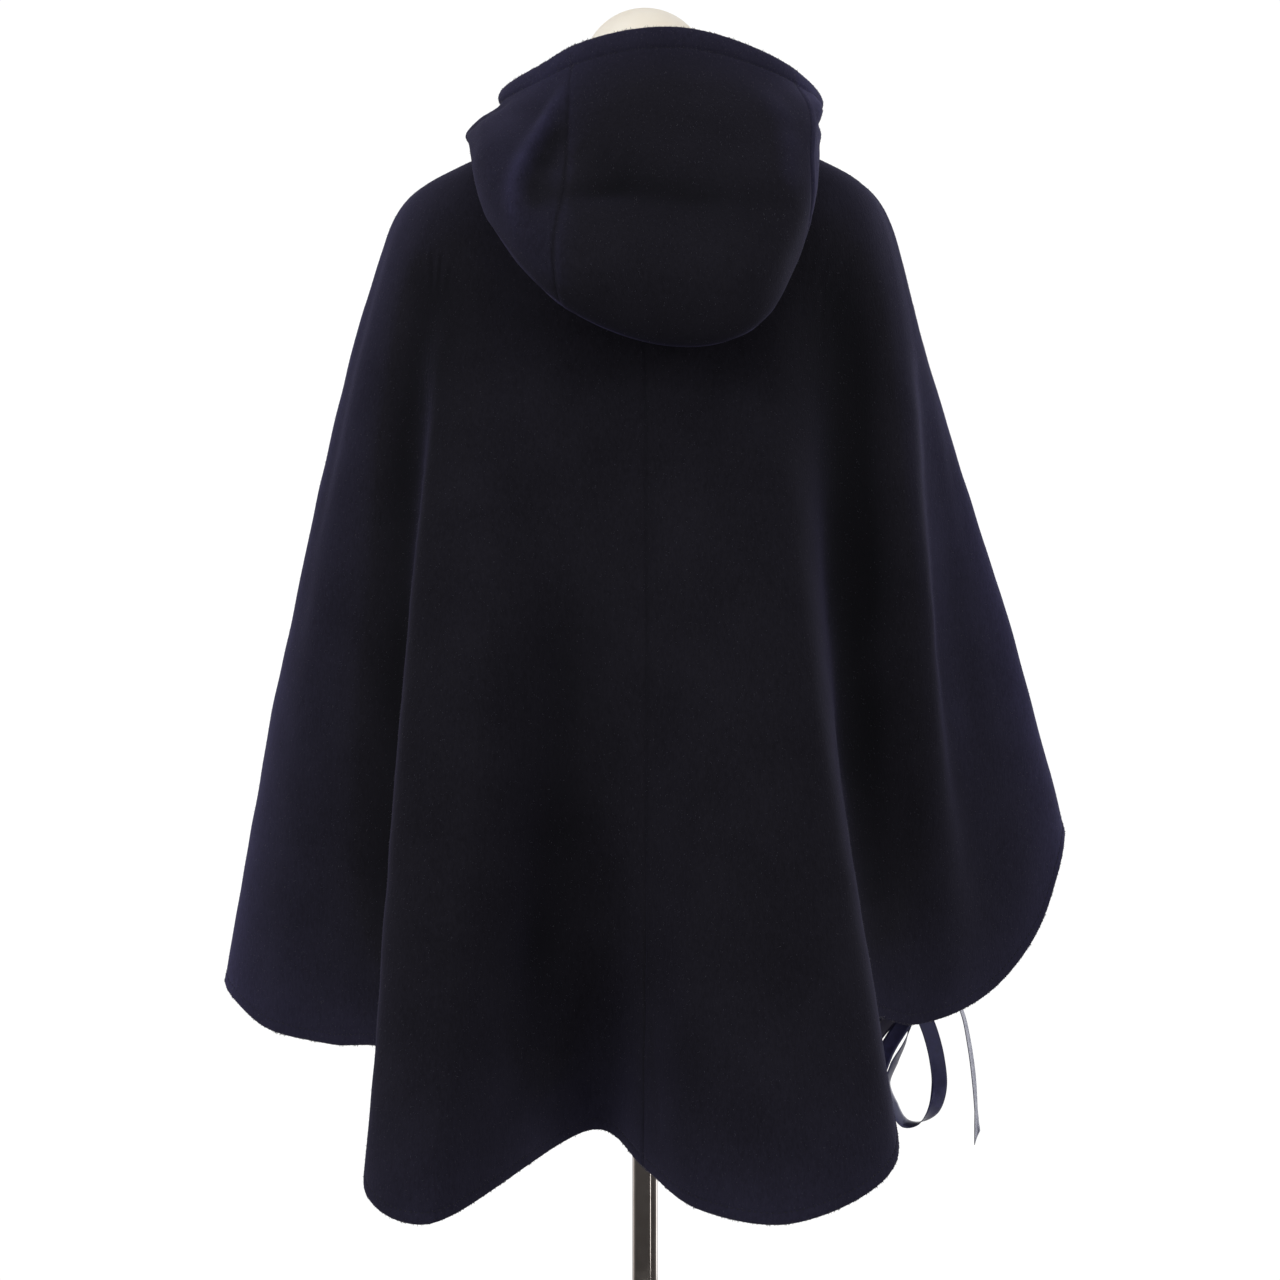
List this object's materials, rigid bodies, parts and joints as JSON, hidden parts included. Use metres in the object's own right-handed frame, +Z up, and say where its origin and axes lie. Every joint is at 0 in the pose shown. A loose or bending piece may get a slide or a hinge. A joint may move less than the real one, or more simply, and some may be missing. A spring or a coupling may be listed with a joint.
{
  "type": "hooded wool cape coat on a dress form",
  "caption": "Dark hooded wool cape coat with draped wing sides, worn on a limbless dress form on a chrome pole and round base.",
  "frame": {"origin": "centre of the round base's underside, on the floor and on the pole's axis", "axes": "+Z up, the coat faces -Y with its back towards +Y, and the wearer's left is +X"},
  "size_m": [0.718, 0.47, 1.5443],
  "materials": {
    "wool": "double-faced wool melton, black with a navy cast, short soft nap",
    "satin": "narrow dark satin ribbon with a blue-grey glint",
    "horn": "polished dark horn-look buttons",
    "cream": "cream woven cover pulled tight over a smooth form",
    "chrome": "bright chrome plate"
  },
  "bodies": {
    "root": {"front_left": "wool", "front_right": "wool", "back_left": "wool", "back_right": "wool", "hood_left": "wool", "hood_centre": "wool", "hood_right": "wool", "tie_knot": "satin", "tie_front_loop": "satin", "tie_hidden_loop": "satin", "tie_free_end": "satin", "button_1": "horn", "button_2": "horn", "button_3": "horn", "button_4": "horn", "form_torso": "cream", "form_neck_cap": "cream", "pole_flange": "chrome", "pole": "chrome", "base_hub": "chrome", "base_plate": "chrome"}
  },
  "joints": []
}
